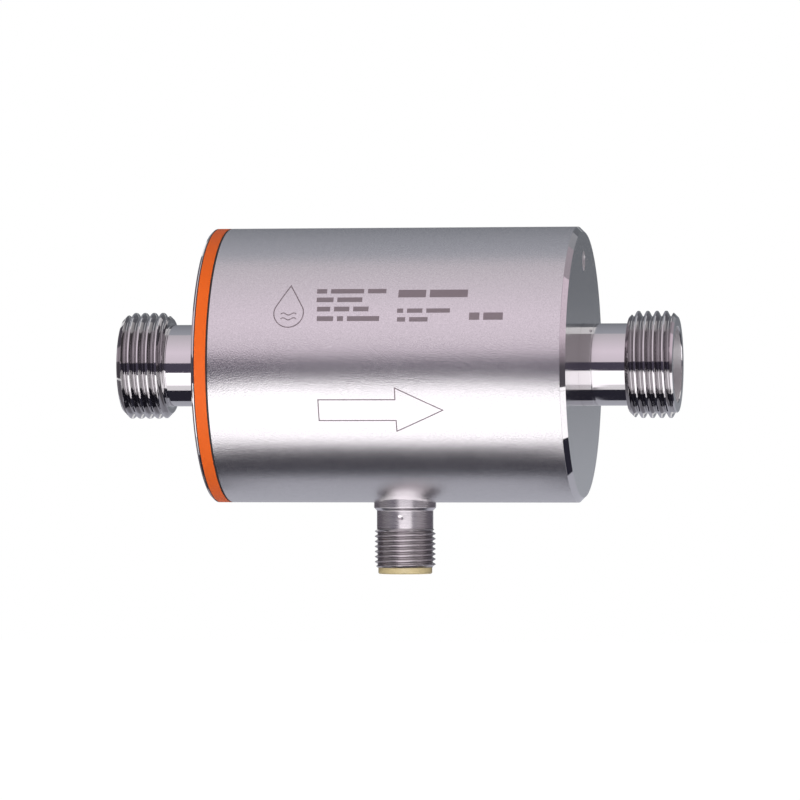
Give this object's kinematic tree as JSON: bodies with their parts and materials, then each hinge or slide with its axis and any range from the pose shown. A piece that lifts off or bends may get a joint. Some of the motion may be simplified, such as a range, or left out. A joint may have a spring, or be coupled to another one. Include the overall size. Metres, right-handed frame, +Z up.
{
  "type": "magnetic flow sensor",
  "caption": "Round steel in-line flow meter with an orange ring, a male threaded pipe end on each side and a round plug socket below.",
  "frame": {"origin": "middle of the flow axis, half-way between the two pipe ends", "axes": "+X along the flow axis towards the outlet, +Z up, the plug socket points to -Z, -Y is the marked front"},
  "size_m": [0.11, 0.054, 0.068],
  "materials": {
    "blasted_steel": "fine bead-blasted, satin",
    "polished_steel": "turned and polished stainless steel",
    "spring_steel": "drawn spring wire",
    "electrode_steel": "polished",
    "screw_steel": "zinc plated",
    "soft_iron": "machined, dull",
    "copper_wire": "enamelled copper winding",
    "gold_contact": "gold plated",
    "orange_plastic": "satin orange",
    "tan_plastic": "machined, semi-matt tan",
    "yellow_plastic": "satin pale yellow",
    "white_plastic": "moulded",
    "black_plastic": "moulded",
    "board_green": "lacquered fibreglass",
    "capacitor_case": "drawn can",
    "lead_insulation": "extruded wire insulation",
    "black_rubber": "smooth"
  },
  "bodies": {
    "root": {"housing": "blasted_steel", "end_cover": "polished_steel", "accent_ring": "orange_plastic", "ring_gasket_outer": "black_rubber", "ring_gasket_inner": "black_rubber", "cover_seal": "black_rubber", "cover_lock_ring": "spring_steel", "inlet_fitting": "polished_steel", "outlet_fitting": "polished_steel", "neck_seal_inlet": "black_rubber", "neck_seal_outlet": "black_rubber", "tube_seal_inlet": "black_rubber", "tube_seal_outlet": "black_rubber", "measuring_tube": "tan_plastic", "electrode_front": "electrode_steel", "electrode_rear": "electrode_steel", "electrode_seal_front": "black_rubber", "electrode_seal_rear": "black_rubber", "electrode_nut_front": "tan_plastic", "electrode_nut_rear": "tan_plastic", "pole_upper": "soft_iron", "pole_lower": "soft_iron", "bobbin_upper": "white_plastic", "bobbin_lower": "white_plastic", "winding_upper": "copper_wire", "winding_lower": "copper_wire", "magnet_yoke": "soft_iron", "yoke_screws": "screw_steel", "circuit_board": "board_green", "board_spacers": "white_plastic", "board_screws": "screw_steel", "processor": "black_plastic", "board_chips": "black_plastic", "capacitors": "capacitor_case", "electrode_leads": "lead_insulation", "coil_leads": "lead_insulation", "connector_shell": "polished_steel", "socket_liner": "yellow_plastic", "contact_carrier": "yellow_plastic", "carrier_seal": "black_rubber", "contact_pins": "gold_contact", "fill_plug": "polished_steel"}
  },
  "joints": []
}
